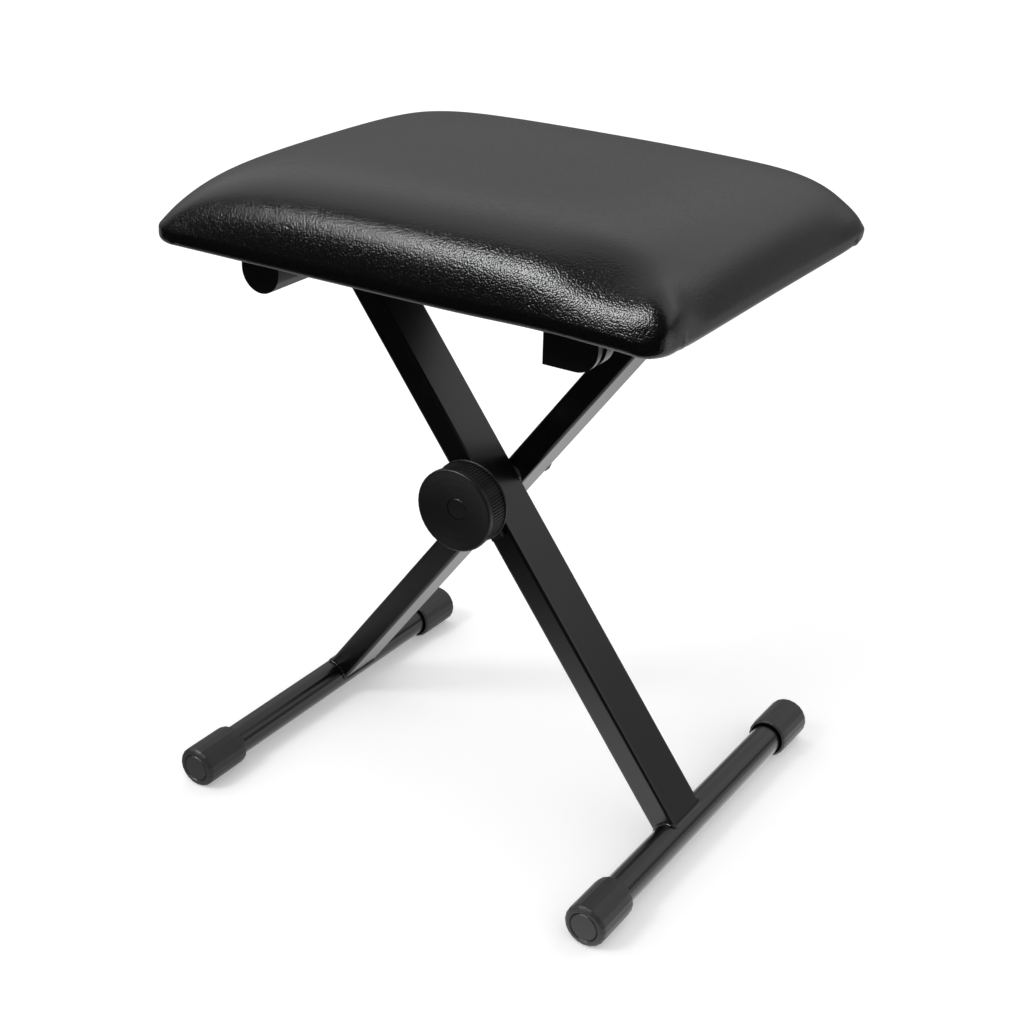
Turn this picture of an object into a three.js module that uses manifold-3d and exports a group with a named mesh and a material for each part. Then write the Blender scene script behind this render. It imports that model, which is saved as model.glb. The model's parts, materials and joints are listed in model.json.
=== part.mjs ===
// Folding keyboard bench with crossed legs, at real size in millimetres.
// +Z is up, +X runs from the left foot to the right foot, +Y points away from the knob.
// The origin lies on the floor under the middle of the pad.
import * as THREE from "three";
import { mergeVertices } from "three/addons/utils/BufferGeometryUtils.js";
import Module from "manifold-3d";

const wasm = await Module();
wasm.setup();

// Driving dimensions of the crossed frame
const foot_span = 341; // between the axes of the two foot tubes
const leg_rise = 228; // from the foot axes up to the pivot
const top_span = 247; // between the axes of the two top tubes
const pivot_x = -4.4; // the pad hangs a little over to the right of the pivot
const seat_y = -4; // the pad and the top tubes sit a little towards the knob
const leg_width = 20;
const leg_depth = 40;
const leg_wall = 1.6;
const leg_corner = 2.6;
const leg_gap = 2.5;
const tube_diameter = 24;
const tube_wall = 1.6;
const foot_length = 325; // over the rubber caps
const right_foot_y = 0.5;
const left_foot_y = -5.5;
const top_length = 234; // over the end plugs

// Clearances
const seat_gap = 0.1; // between flat faces that bear on each other
const fit_gap = 0.3; // between a piece and the bore or pocket it sits in
const slide_gap = 0.5; // between a top tube and the bearing it turns or slides in
const overrun = 5; // how far a cutting shape runs past the face it cuts
const weld_tolerance = 1e-4; // points nearer than this are one point

// Pad
const pad_length = 394;
const pad_width = 301;
const pad_overhang = -3.6; // the pad's middle lies this far in front of the brackets' middle
const pad_height = 57; // from the underside of the cover to the crown
const pad_corner = 18.5;
const pad_lip = 10; // upright edge above the underside
const pad_tuck = 2.2; // how far the underside is drawn in from the edge
const pad_side_draw = 0.5; // how far the middle of each side is drawn in between the corners
const pad_shoulder = 16.5; // rise of the steep rim above the lip
const cover_thickness = 1;
const cover_hem = 22;
const foam_gap = 0.4;
const board_thickness = 12;
const board_inset = 9; // from the edge of the pad to the edge of the board
const dust_thickness = 0.8;
const dust_inset = 24;

// Rubber foot caps
const cap_length = 42;
const cap_wall = 4; // round the tube at the cap's end
const cap_mouth_wall = 3.6;
const cap_sole = 0.5; // worn flat under the cap
const cap_lip = 1.8;
const cap_end_wall = 5;
const cap_end_round = 3.6;
const cap_ring_inset = 4.6; // from the cap's side to the ring groove on its end
const cap_ring_width = 1.6;
const cap_ring_depth = 0.9;
const cap_bell_gap = 2.4; // round the tube at the bell mouth
const cap_bell_depth = 6;

// Plugs in the ends of the top tubes
const plug_flange = 2.4;
const plug_shank = 14;
const plug_chamfer = 0.8;

// Pivot bolt, its sleeves, lock discs and release spring
const bolt_share = 0.25; // of the leg's width
const bolt_head_share = 2.2; // of the bolt's radius
const bolt_head_height = 4.4;
const bolt_chamfer = 1;
const disc_inset = 0.4; // from the side of the leg to the rim of the disc
const disc_flange = 0.5;
const disc_bore_step = 0.4; // the crush sleeve bears on this much of the disc
const disc_spigot_step = 0.8; // round the crush sleeve
const tooth_height = 0.6;
const tooth_count = 24;
const tooth_shares = { flank: 0.42, tip: 0.08 };
const spring_wire_share = 0.4; // of the room between the bolt and the bore of the disc
const spring_place_share = 0.62; // how far out in that room the wire lies
const spring_turns = 3;
const spring_pitch = 1.6;

// Knob
const knob_radius = 31;
const knob_depth = 22.7;
const knob_standoff = 8.5; // from the front leg's face to the knob's back rim
const knob_rim = 2.2;
const knob_edge = 0.7;
const knob_collar_radius = 30.2;
const knob_rib_depth = 0.8;
const knob_rib_count = 80;
const knob_waist_radius = 29;
const knob_waist = 0.7;
const knob_lip = 4.8;
const knob_lip_round = 1.5;
const knob_dish = 4.6;
const knob_wall = 2.8;
const knob_roof = 3.6;
const knob_boss_radius = 11.4;
const knob_boss_proud = 0.4; // how far the boss stands out behind the back rim
const knob_web_count = 6;
const knob_web_thickness = 2;
const knob_web_setback = 3;
const insert_across = 15;
const insert_length = 11;
const bolt_in_knob = 12.5;
const knob_cap_radius = 7.8;
const knob_cap_thickness = 1.1;
const knob_cap_dome = 0.5;
const washer_radius = 12;
const washer_thickness = 1.6;
const spacer_radius = 13;
const spacer_tab_width = 10.5;
const spacer_tab_reach = 34;
const spacer_tab_thickness = 4.5;
const spacer_tab_corner = 1;

// Brackets under the pad
const hinge_wall = 3.5; // round the tube
const slide_wall = 3.5; // under the tube
const slide_end_wall = 4.4; // beside the tube
const hinge_length = 46;
const slide_length = 20;
const bracket_end_wall = 3;
const slide_rim = 4.5;
const slide_groove = 6;
const slide_groove_depth = 1.7;
const slide_run = 22.4; // length of the straight part of the slide bracket's slot
const flange_thickness = 3;
const slide_flange_length = 24;
const flange_ear = 12;
const flange_corner = 4;
const slide_tab = 15; // flange beyond the mouth of the slot

// Countersunk bracket screws
const screw_radius = 2;
const screw_head_radius = 4;
const screw_head_height = 2.2;
const screw_length = 13;
const screw_tip = 2.5;
const screw_recess_share = 0.45;
const screw_recess_depth = 1.3;
const screw_gap = 0.25;

// How finely round shapes are divided
const round_steps = 32;
const small_round_steps = 16;
const hole_steps = 8;
const arc_steps = 12;
const cap_steps = 20;
const knob_steps = 40;
const corner_steps = 3;
const spring_steps = 8;
const spring_sides = 5;

// Values that follow from the ones above
const tube_radius = tube_diameter / 2;
const cap_radius = tube_radius + cap_wall;
const cap_mouth_radius = tube_radius + cap_mouth_wall;
const cap_bell_radius = tube_radius + cap_bell_gap;
const cap_ring_radius = cap_radius - cap_ring_inset;
const foot_axis_height = cap_radius - cap_sole;
const bolt_radius = leg_width * bolt_share;
const bolt_head_radius = bolt_radius * bolt_head_share;
const sleeve_radius = leg_width / 2 - leg_corner;
const disc_radius = leg_width / 2 - disc_inset;
const disc_bore_radius = sleeve_radius - disc_bore_step;
const disc_spigot_radius = sleeve_radius + disc_spigot_step;
const spring_room = disc_bore_radius - bolt_radius;
const spring_wire = spring_room * spring_wire_share;
const spring_radius = bolt_radius + spring_room * spring_place_share;
const bearing_radius = tube_radius + slide_gap;
const hinge_radius = bearing_radius + hinge_wall;
const slide_radius = bearing_radius + slide_wall;
const slide_shift = slide_end_wall - slide_wall;
const slide_side = slide_shift + slide_radius;
const flange_bottom = bearing_radius + 2 * seat_gap;
const flange_top = flange_bottom + flange_thickness;
const lean = Math.atan2(leg_rise, foot_span / 2);
const lower_leg = Math.hypot(leg_rise, foot_span / 2);
const upper_leg = (lower_leg * top_span) / foot_span;
const pivot_z = foot_axis_height + leg_rise;
const top_axis_z = pivot_z + (leg_rise * top_span) / foot_span;
const pad_bottom = top_axis_z + flange_top + fit_gap;
const front_face_y = -leg_gap / 2 - leg_depth;
const front_inner_y = -leg_gap / 2;
const rear_inner_y = leg_gap / 2;
const rear_face_y = leg_gap / 2 + leg_depth;
const knob_back_y = front_face_y - knob_standoff;
const spacer_thickness = knob_standoff - knob_boss_proud - washer_thickness - 3 * seat_gap;
const bracket_end_y = top_length / 2 + slide_gap + bracket_end_wall;
const left_top_x = pivot_x - top_span / 2;
const right_top_x = pivot_x + top_span / 2;

// Finishes, as they read in the photograph
const finishes = {
  powder_coat: { color: 0x1c1c1d, roughness: 0.42, metalness: 0.25 },
  rubber: { color: 0x2b2b2c, roughness: 0.8, metalness: 0 },
  knob_plastic: { color: 0x141415, roughness: 0.38, metalness: 0 },
  nylon: { color: 0x17171a, roughness: 0.5, metalness: 0 },
  vinyl: { color: 0x161617, roughness: 0.45, metalness: 0 },
  foam: { color: 0xd8cfae, roughness: 0.95, metalness: 0 },
  plywood: { color: 0xb58d5c, roughness: 0.75, metalness: 0 },
  dust_cloth: { color: 0x202022, roughness: 0.95, metalness: 0 },
  zinc: { color: 0x9a9c9f, roughness: 0.35, metalness: 0.9 },
  spring_steel: { color: 0x6f7276, roughness: 0.3, metalness: 0.95 },
};

// A closed geometry as a solid, with its faces turned outwards whichever way it was drawn.
function solid(geometry) {
  const bare = geometry.clone();
  bare.deleteAttribute("normal");
  bare.deleteAttribute("uv");
  const merged = mergeVertices(bare, weld_tolerance);
  const position = merged.attributes.position;
  const index = Uint32Array.from(merged.index.array);
  const a = new THREE.Vector3();
  const b = new THREE.Vector3();
  const c = new THREE.Vector3();
  const kept = [];
  let volume = 0;
  for (let i = 0; i < index.length; i += 3) {
    const [p, q, r] = index.subarray(i, i + 3);
    if (p === q || q === r || r === p) continue;
    kept.push(p, q, r);
    a.fromBufferAttribute(position, p);
    b.fromBufferAttribute(position, q);
    c.fromBufferAttribute(position, r);
    volume += a.dot(b.cross(c));
  }
  if (volume < 0) kept.reverse();
  return new wasm.Manifold(
    new wasm.Mesh({
      numProp: 3,
      vertProperties: Float32Array.from(position.array),
      triVerts: Uint32Array.from(kept),
    }),
  );
}

// A solid back as a geometry that can be drawn.
function drawn(body) {
  const mesh = body.getMesh();
  const geometry = new THREE.BufferGeometry();
  const places = Float32Array.from(mesh.vertProperties);
  geometry.setAttribute("position", new THREE.BufferAttribute(places, 3));
  geometry.setIndex(new THREE.BufferAttribute(Uint32Array.from(mesh.triVerts), 1));
  geometry.computeVertexNormals();
  return geometry;
}

function piece(name, body, finish) {
  const material = new THREE.MeshStandardMaterial(finishes[finish]);
  const mesh = new THREE.Mesh(drawn(body), material);
  mesh.name = name;
  return mesh;
}

// A round bar along Y between two places, about an axis through (x, z).
function bar(radius, y_from, y_to, x = 0, z = 0, steps = round_steps) {
  const geometry = new THREE.CylinderGeometry(radius, radius, y_to - y_from, steps);
  return solid(geometry.translate(x, (y_from + y_to) / 2, z));
}

// A turned shape about the Y axis from pairs of radius and height.
function turned(pairs, steps = round_steps) {
  const profile = pairs.map(([radius, height]) => new THREE.Vector2(radius, height));
  return solid(new THREE.LatheGeometry(profile, steps));
}

// A flat outline in X and Z, carried along Y.
function prism(outline, y_from, y_to) {
  const options = { depth: y_to - y_from, bevelEnabled: false, curveSegments: arc_steps };
  const geometry = new THREE.ExtrudeGeometry(outline, options);
  return solid(geometry.rotateX(Math.PI / 2).translate(0, y_to, 0));
}

// A flat outline in Y and Z, carried along X.
function beam(outline, x_from, x_to) {
  const options = { depth: x_to - x_from, bevelEnabled: false, curveSegments: corner_steps };
  const geometry = new THREE.ExtrudeGeometry(outline, options);
  const along_x = new THREE.Matrix4().makeBasis(
    new THREE.Vector3(0, 1, 0),
    new THREE.Vector3(0, 0, 1),
    new THREE.Vector3(1, 0, 0),
  );
  return solid(geometry.applyMatrix4(along_x).translate(x_from, 0, 0));
}

function block(x_from, x_to, y_from, y_to, z_from, z_to) {
  const geometry = new THREE.BoxGeometry(x_to - x_from, y_to - y_from, z_to - z_from);
  return solid(geometry.translate((x_from + x_to) / 2, (y_from + y_to) / 2, (z_from + z_to) / 2));
}

// A rectangle with round corners, between two places each way.
function round_rectangle(x_from, x_to, y_from, y_to, corner) {
  const outline = new THREE.Shape();
  outline.moveTo(x_from + corner, y_from);
  outline.lineTo(x_to - corner, y_from);
  outline.absarc(x_to - corner, y_from + corner, corner, -Math.PI / 2, 0);
  outline.lineTo(x_to, y_to - corner);
  outline.absarc(x_to - corner, y_to - corner, corner, 0, Math.PI / 2);
  outline.lineTo(x_from + corner, y_to);
  outline.absarc(x_from + corner, y_to - corner, corner, Math.PI / 2, Math.PI);
  outline.lineTo(x_from, y_from + corner);
  outline.absarc(x_from + corner, y_from + corner, corner, Math.PI, Math.PI * 1.5);
  return outline;
}

// A quarter round in a turned profile, from one end angle to the other.
function quarter(radius, height, size, angle_from, angle_to, steps = corner_steps) {
  const pairs = [];
  for (let i = 0; i <= steps; i++) {
    const angle = angle_from + ((angle_to - angle_from) * i) / steps;
    pairs.push([radius + size * Math.cos(angle), height + size * Math.sin(angle)]);
  }
  return pairs;
}

// A leg along X with the pivot at the origin: a rectangular tube whose two ends are cut to saddle
// the round tubes that are welded to it.
function leg_tube(y_from, y_to) {
  const half = leg_width / 2;
  const outside = round_rectangle(y_from, y_to, -half, half, leg_corner);
  const inside = round_rectangle(
    y_from + leg_wall,
    y_to - leg_wall,
    leg_wall - half,
    half - leg_wall,
    leg_corner - leg_wall,
  );
  const saddle = tube_radius + fit_gap;
  return beam(outside, -lower_leg, upper_leg)
    .subtract(beam(inside, -lower_leg - overrun, upper_leg + overrun))
    .subtract(bar(saddle, y_from - overrun, y_to + overrun, -lower_leg))
    .subtract(bar(saddle, y_from - overrun, y_to + overrun, upper_leg));
}

// The front leg has a round bolt hole in front and the opening for its lock disc behind.
function front_leg() {
  const middle = (front_face_y + front_inner_y) / 2;
  return leg_tube(front_face_y, front_inner_y)
    .subtract(bar(bolt_radius + fit_gap, front_face_y - overrun, middle))
    .subtract(bar(disc_spigot_radius + fit_gap, middle, front_inner_y + overrun));
}

// The rear leg has the opening for its lock disc in front and a square hole for the bolt's neck.
function rear_leg() {
  const middle = (rear_face_y + rear_inner_y) / 2;
  const half = bolt_radius + fit_gap;
  return leg_tube(rear_inner_y, rear_face_y)
    .subtract(bar(disc_spigot_radius + fit_gap, rear_inner_y - overrun, middle))
    .subtract(block(-half, half, middle, rear_face_y + overrun, -half, half));
}

// A round steel tube along Y, open at both ends.
function round_tube(length) {
  const half = length / 2;
  return bar(tube_radius, -half, half).subtract(
    bar(tube_radius - tube_wall, -half - overrun, half + overrun),
  );
}

// A rubber cap whose mouth is at height 0 and whose round end points along +Y. It stands on a flat
// sole, flares a little towards its end, and has a bell mouth round the tube.
function foot_cap() {
  const bore = tube_radius + fit_gap;
  const ring_inside = cap_ring_radius - cap_ring_width;
  const profile = [
    [0, cap_length],
    [ring_inside, cap_length],
    [cap_ring_radius - cap_ring_width / 2, cap_length - cap_ring_depth],
    [cap_ring_radius, cap_length],
    ...quarter(
      cap_radius - cap_end_round,
      cap_length - cap_end_round,
      cap_end_round,
      Math.PI / 2,
      0,
      corner_steps + 1,
    ),
    [cap_mouth_radius + cap_lip / 6, cap_bell_depth],
    ...quarter(cap_mouth_radius - cap_lip, cap_lip, cap_lip, 0, -Math.PI / 2),
    [cap_bell_radius - cap_lip / 3, 0],
    [cap_bell_radius - cap_lip / 2, cap_bell_depth - cap_lip],
    [bore, cap_bell_depth],
    [bore, cap_length - cap_end_wall],
    [0, cap_length - cap_end_wall],
  ];
  const sole = block(
    -cap_radius - overrun,
    cap_radius + overrun,
    -overrun,
    cap_length + overrun,
    -cap_radius - overrun,
    -foot_axis_height,
  );
  return turned(profile, cap_steps).subtract(sole);
}

// A plug with a chamfered flange over the tube's end and a shank inside it, pointing along +Y.
function end_plug() {
  const shank = tube_radius - tube_wall - fit_gap;
  return turned([
    [0, plug_flange],
    [tube_radius - plug_chamfer, plug_flange],
    [tube_radius, plug_flange - plug_chamfer],
    [tube_radius, 0],
    [shank, 0],
    [shank, plug_chamfer - plug_shank],
    [shank - plug_chamfer, -plug_shank],
    [shank - plug_flange, -plug_shank],
    [shank - plug_flange, 0],
    [0, 0],
  ], small_round_steps);
}

// A foot tube along Y with a cap on each end.
function foot_set(side) {
  const set = new THREE.Group();
  const tube_length = foot_length - 2 * (cap_end_wall + fit_gap);
  set.add(piece(`${side}_foot_tube`, round_tube(tube_length), "powder_coat"));
  const back = piece(`${side}_foot_cap_back`, foot_cap(), "rubber");
  back.position.y = foot_length / 2 - cap_length;
  const front = piece(`${side}_foot_cap_front`, foot_cap(), "rubber");
  front.rotation.z = Math.PI;
  front.position.y = -back.position.y;
  set.add(front, back);
  return set;
}

// A top tube along Y with a plug in each end.
function top_set(side) {
  const set = new THREE.Group();
  const tube_length = top_length - 2 * (plug_flange + seat_gap);
  set.add(piece(`${side}_top_tube`, round_tube(tube_length), "powder_coat"));
  const back = piece(`${side}_top_plug_back`, end_plug(), "nylon");
  back.position.y = top_length / 2 - plug_flange;
  const front = piece(`${side}_top_plug_front`, end_plug(), "nylon");
  front.rotation.z = Math.PI;
  front.position.y = -back.position.y;
  set.add(front, back);
  return set;
}

// A lock disc with radial face teeth that point along +Y. Its flange lies on the leg's face at height
// 0 and its spigot fills the opening in the leg's wall.
function lock_disc() {
  const tip_height = disc_flange + tooth_height;
  const spigot_end = seat_gap - leg_wall;
  const pitch = (2 * Math.PI) / tooth_count;
  const half_root = pitch * tooth_shares.flank;
  const half_tip = pitch * tooth_shares.tip;
  const section = [
    [-half_root, disc_flange / 2],
    [half_root, disc_flange / 2],
    [half_root, disc_flange],
    [half_tip, tip_height],
    [-half_tip, tip_height],
    [-half_root, disc_flange],
  ];
  let disc = bar(disc_radius, 0, disc_flange, 0, 0, tooth_count).add(
    bar(disc_spigot_radius, spigot_end, disc_flange / 2, 0, 0, tooth_count),
  );
  for (let i = 0; i < tooth_count; i++) {
    const places = [];
    for (const radius of [disc_bore_radius - fit_gap, disc_radius - 2 * seat_gap]) {
      for (const [angle, height] of section) {
        const turn = i * pitch + angle;
        places.push(radius * Math.cos(turn), height, radius * Math.sin(turn));
      }
    }
    disc = disc.add(solid(loft_of(places, section.length)));
  }
  return disc.subtract(
    bar(disc_bore_radius, spigot_end - overrun, tip_height + overrun, 0, 0, small_round_steps),
  );
}

// A closed skin over two rings of points that have the same count and order.
function loft_of(places, count) {
  const index = [];
  for (let i = 1; i < count - 1; i++) {
    index.push(0, i + 1, i);
    index.push(count, count + i, count + i + 1);
  }
  for (let i = 0; i < count; i++) {
    const next = (i + 1) % count;
    index.push(i, next, count + next);
    index.push(i, count + next, count + i);
  }
  const geometry = new THREE.BufferGeometry();
  geometry.setAttribute("position", new THREE.Float32BufferAttribute(places, 3));
  geometry.setIndex(index);
  return geometry;
}

// A compression spring round the Y axis, one unbroken wire, centred on height 0.
function release_spring() {
  const points = [];
  const count = spring_turns * spring_steps;
  for (let i = 0; i <= count; i++) {
    const turn = (2 * Math.PI * i) / spring_steps;
    const height = (i / spring_steps - spring_turns / 2) * spring_pitch;
    points.push(
      new THREE.Vector3(spring_radius * Math.cos(turn), height, spring_radius * Math.sin(turn)),
    );
  }
  let least = Infinity;
  for (let i = 0; i + spring_steps <= count; i++) {
    least = Math.min(least, points[i].distanceTo(points[i + spring_steps]) - spring_wire);
  }
  console.log(`least gap between the spring's turns: ${least.toFixed(2)} mm`);
  const sides = [];
  for (let i = 0; i < spring_sides; i++) {
    const angle = (2 * Math.PI * i) / spring_sides;
    sides.push(
      new THREE.Vector2((spring_wire / 2) * Math.cos(angle), (spring_wire / 2) * Math.sin(angle)),
    );
  }
  const route = new THREE.CatmullRomCurve3(points);
  const options = { steps: count, extrudePath: route, bevelEnabled: false };
  return solid(new THREE.ExtrudeGeometry(new THREE.Shape(sides), options));
}

// A sleeve that keeps the bolt from crushing a leg's tube.
function crush_sleeve() {
  const half = leg_depth / 2 - leg_wall - seat_gap;
  const bore = bolt_radius + fit_gap;
  return bar(sleeve_radius, -half, half, 0, 0, small_round_steps).subtract(
    bar(bore, -half - overrun, half + overrun, 0, 0, small_round_steps),
  );
}

// The carriage bolt, with its domed head at the back and its square neck in the rear leg's wall.
function pivot_bolt() {
  const tip_y = knob_back_y - bolt_in_knob;
  const head_y = rear_face_y + seat_gap;
  const neck_y = rear_face_y - leg_wall + seat_gap;
  const dome = [];
  const dome_steps = 4;
  for (let i = 0; i <= dome_steps; i++) {
    const angle = (Math.PI / 2) * (i / dome_steps);
    dome.push([
      bolt_head_radius * Math.cos(angle),
      head_y + seat_gap + bolt_head_height * Math.sin(angle),
    ]);
  }
  const head = turned([[0, head_y], [bolt_head_radius, head_y], ...dome], small_round_steps);
  const shank = turned(
    [
      [0, tip_y],
      [bolt_radius - bolt_chamfer, tip_y],
      [bolt_radius, tip_y + bolt_chamfer],
      [bolt_radius, head_y + bolt_head_height / 2],
      [0, head_y + bolt_head_height / 2],
    ],
    small_round_steps,
  );
  const half = bolt_radius;
  const neck = block(-half, half, neck_y, head_y + bolt_head_height / 2, -half, half);
  return shank.add(neck).add(head);
}

// A moulded spacer under the knob, with a tab that lies down the front leg's face. Along X as the leg.
function knob_spacer() {
  const ring = bar(spacer_radius, front_face_y - seat_gap - spacer_thickness, front_face_y - seat_gap);
  const half = spacer_tab_width / 2;
  const tab = prism(
    round_rectangle(-spacer_tab_reach, 0, -half, half, spacer_tab_corner),
    front_face_y - seat_gap - spacer_tab_thickness,
    front_face_y - seat_gap,
  );
  const bore = bar(bolt_radius + fit_gap, front_face_y - knob_standoff - overrun, front_face_y);
  return ring.add(tab).subtract(bore);
}

function thrust_washer() {
  const back = front_face_y - seat_gap - spacer_thickness - seat_gap;
  const front = back - washer_thickness;
  return bar(washer_radius, front, back, 0, 0, small_round_steps).subtract(
    bar(bolt_radius + fit_gap, front - overrun, back + overrun, 0, 0, small_round_steps),
  );
}

// Outline of the ribbed collar: low ribs with flat crests all the way round.
function collar_outline() {
  const outline = new THREE.Shape();
  const pitch = (2 * Math.PI) / knob_rib_count;
  const root_radius = knob_collar_radius - knob_rib_depth;
  const rib_shares = { root: 0.3, crest: 0.22 };
  for (let i = 0; i < knob_rib_count; i++) {
    const middle = i * pitch;
    for (const [radius, share] of [
      [root_radius, -rib_shares.root],
      [knob_collar_radius, -rib_shares.crest / 2],
      [knob_collar_radius, rib_shares.crest / 2],
      [root_radius, rib_shares.root],
    ]) {
      const angle = middle + share * pitch;
      const x = radius * Math.cos(angle);
      const z = radius * Math.sin(angle);
      if (i === 0 && share === -rib_shares.root) outline.moveTo(x, z);
      else outline.lineTo(x, z);
    }
  }
  outline.closePath();
  return outline;
}

// The knob, with its back rim at height 0 and its dished face along +Y: a moulded shell with a ribbed
// collar, a hollow back, a boss for the insert and webs between boss and wall.
function knob_body() {
  const root_radius = knob_collar_radius - knob_rib_depth;
  const collar_end = knob_depth - knob_lip - knob_waist;
  const lip_start = knob_depth - knob_lip;
  const cavity_radius = knob_waist_radius - knob_wall;
  const roof = knob_depth - knob_dish - knob_roof;
  const boss_end = -knob_boss_proud;
  const dish_radius = knob_radius - knob_lip_round;
  const recess = knob_cap_radius + fit_gap;
  const dish = (radius) => knob_depth - knob_dish * (1 - (radius / dish_radius) ** 2);
  const dish_shares = [0.82, 0.62, 0.44];
  const profile = [
    [0, dish(recess) - knob_cap_thickness],
    [recess, dish(recess) - knob_cap_thickness],
    [recess, dish(recess)],
    ...dish_shares.toReversed().map((share) => [share * dish_radius, dish(share * dish_radius)]),
    ...quarter(dish_radius, knob_depth - knob_lip_round, knob_lip_round, Math.PI / 2, 0),
    [knob_radius, lip_start + knob_edge],
    [knob_radius - knob_edge, lip_start],
    [knob_waist_radius, lip_start],
    [knob_waist_radius, collar_end],
    [root_radius, collar_end],
    [root_radius, knob_rim],
    [knob_radius - knob_edge / 2, knob_rim],
    [knob_radius, knob_rim - knob_edge / 2],
    [knob_radius, knob_edge],
    [knob_radius - knob_edge, 0],
    [cavity_radius, 0],
    [cavity_radius, roof],
    [knob_boss_radius, roof],
    [knob_boss_radius, boss_end],
    [0, boss_end],
  ];
  const ribs = prism(collar_outline(), knob_rim / 2, collar_end).subtract(
    bar(root_radius - knob_rib_depth, -overrun, knob_depth),
  );
  let knob = turned(profile, knob_steps).add(ribs);
  for (let i = 0; i < knob_web_count; i++) {
    const half = knob_web_thickness / 2;
    const inside = knob_boss_radius - knob_wall / 2;
    const outside = cavity_radius + knob_wall / 2;
    const web = new THREE.BoxGeometry(outside - inside, roof - knob_web_setback + half, 2 * half);
    web.translate((inside + outside) / 2, (roof + knob_web_setback + half) / 2, 0);
    web.rotateY((2 * Math.PI * i) / knob_web_count);
    knob = knob.add(solid(web));
  }
  const pocket = hexagon(insert_across + 2 * fit_gap);
  return knob
    .subtract(prism(pocket, boss_end - overrun, boss_end + insert_length + fit_gap))
    .subtract(bar(bolt_radius + fit_gap, boss_end, bolt_in_knob + 2 * seat_gap, 0, 0, small_round_steps));
}

function hexagon(across) {
  const outline = new THREE.Shape();
  const corner = across / 2 / Math.cos(Math.PI / 6);
  for (let i = 0; i < 6; i++) {
    const angle = (Math.PI / 3) * i;
    if (i === 0) outline.moveTo(corner, 0);
    else outline.lineTo(corner * Math.cos(angle), corner * Math.sin(angle));
  }
  outline.closePath();
  return outline;
}

// The threaded insert sits in the boss with its face level with the boss's end.
function knob_insert() {
  const boss_end = -knob_boss_proud;
  return prism(hexagon(insert_across), boss_end, boss_end + insert_length).subtract(
    bar(bolt_radius + fit_gap, boss_end - overrun, boss_end + insert_length + overrun),
  );
}

// A low round cap in the middle of the dish.
function knob_cap() {
  const dish_radius = knob_radius - knob_lip_round;
  const recess = knob_cap_radius + fit_gap;
  const face = knob_depth - knob_dish * (1 - (recess / dish_radius) ** 2);
  const back = face - knob_cap_thickness + seat_gap;
  return turned(
    [
      [0, back],
      [knob_cap_radius, back],
      [knob_cap_radius, face - knob_cap_dome],
      [knob_cap_radius - knob_cap_dome, face],
      [0, face + knob_cap_dome / 2],
    ],
    small_round_steps + small_round_steps / 2,
  );
}

// The countersunk hole of a bracket screw, along Z, with the flange's lower face at z_face.
function screw_hole(x, y, z_face) {
  const shank = screw_radius + screw_gap;
  const head = screw_head_radius + screw_gap;
  const profile = [
    [0, -overrun],
    [head, -overrun],
    [head, 2 * screw_gap],
    [shank, screw_head_height + 2 * screw_gap],
    [shank, screw_length + 2 * screw_gap],
    [0, screw_length + 2 * screw_gap],
  ];
  const points = profile.map(([radius, height]) => new THREE.Vector2(radius, height));
  const geometry = new THREE.LatheGeometry(points, hole_steps);
  return solid(geometry.rotateX(Math.PI / 2).translate(x, y, z_face));
}

// A countersunk screw along Z, with its flat head at height 0 and its point up.
function bracket_screw() {
  const recess = screw_head_radius * screw_recess_share;
  const profile = [
    [0, screw_recess_depth],
    [recess, 0],
    [screw_head_radius, 0],
    [screw_head_radius, screw_gap],
    [screw_radius, screw_head_height],
    [screw_radius, screw_length - screw_tip],
    [0, screw_length],
  ];
  const points = profile.map(([radius, height]) => new THREE.Vector2(radius, height));
  const geometry = new THREE.LatheGeometry(points, hole_steps);
  return solid(geometry.rotateX(Math.PI / 2));
}

// Where the screws stand, from the middle of the bench and from a bracket's tube axis.
const hinge_screw_y = bracket_end_y - hinge_length / 2;
const slide_screw_y = bracket_end_y - slide_flange_length / 2;
const hinge_screws = [-(hinge_radius + flange_ear / 2), hinge_radius + flange_ear / 2];
const slide_screws = [-(slide_run + slide_tab / 2), slide_side + flange_ear / 2];

// A bracket's flange lies flat under the pad. The bracket's own axis is at the origin and its closed
// end points along -Y.
function flange(x_from, x_to, length, screws, screw_y) {
  const y_from = -bracket_end_y;
  const y_to = length - bracket_end_y;
  const outline = round_rectangle(x_from, x_to, -y_to, -y_from, flange_corner);
  const options = { depth: flange_thickness, bevelEnabled: false, curveSegments: corner_steps };
  const plate = new THREE.ExtrudeGeometry(outline, options).rotateX(Math.PI);
  let made = solid(plate.translate(0, 0, flange_top));
  for (const x of screws) made = made.subtract(screw_hole(x, -screw_y, flange_bottom));
  return made;
}

// The hinge block is a half-round housing with a blind bore in which the left top tube turns.
function hinge_block() {
  const y_from = -bracket_end_y;
  const y_to = hinge_length - bracket_end_y;
  const outline = new THREE.Shape();
  outline.moveTo(-hinge_radius, flange_bottom);
  outline.lineTo(-hinge_radius, 0);
  outline.absarc(0, 0, hinge_radius, Math.PI, 2 * Math.PI);
  outline.lineTo(hinge_radius, flange_bottom);
  outline.closePath();
  const reach = hinge_radius + flange_ear;
  return prism(outline, y_from, y_to)
    .add(flange(-reach, reach, hinge_length, hinge_screws, hinge_screw_y))
    .subtract(bar(bearing_radius, y_from + bracket_end_wall, y_to + overrun));
}

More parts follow.
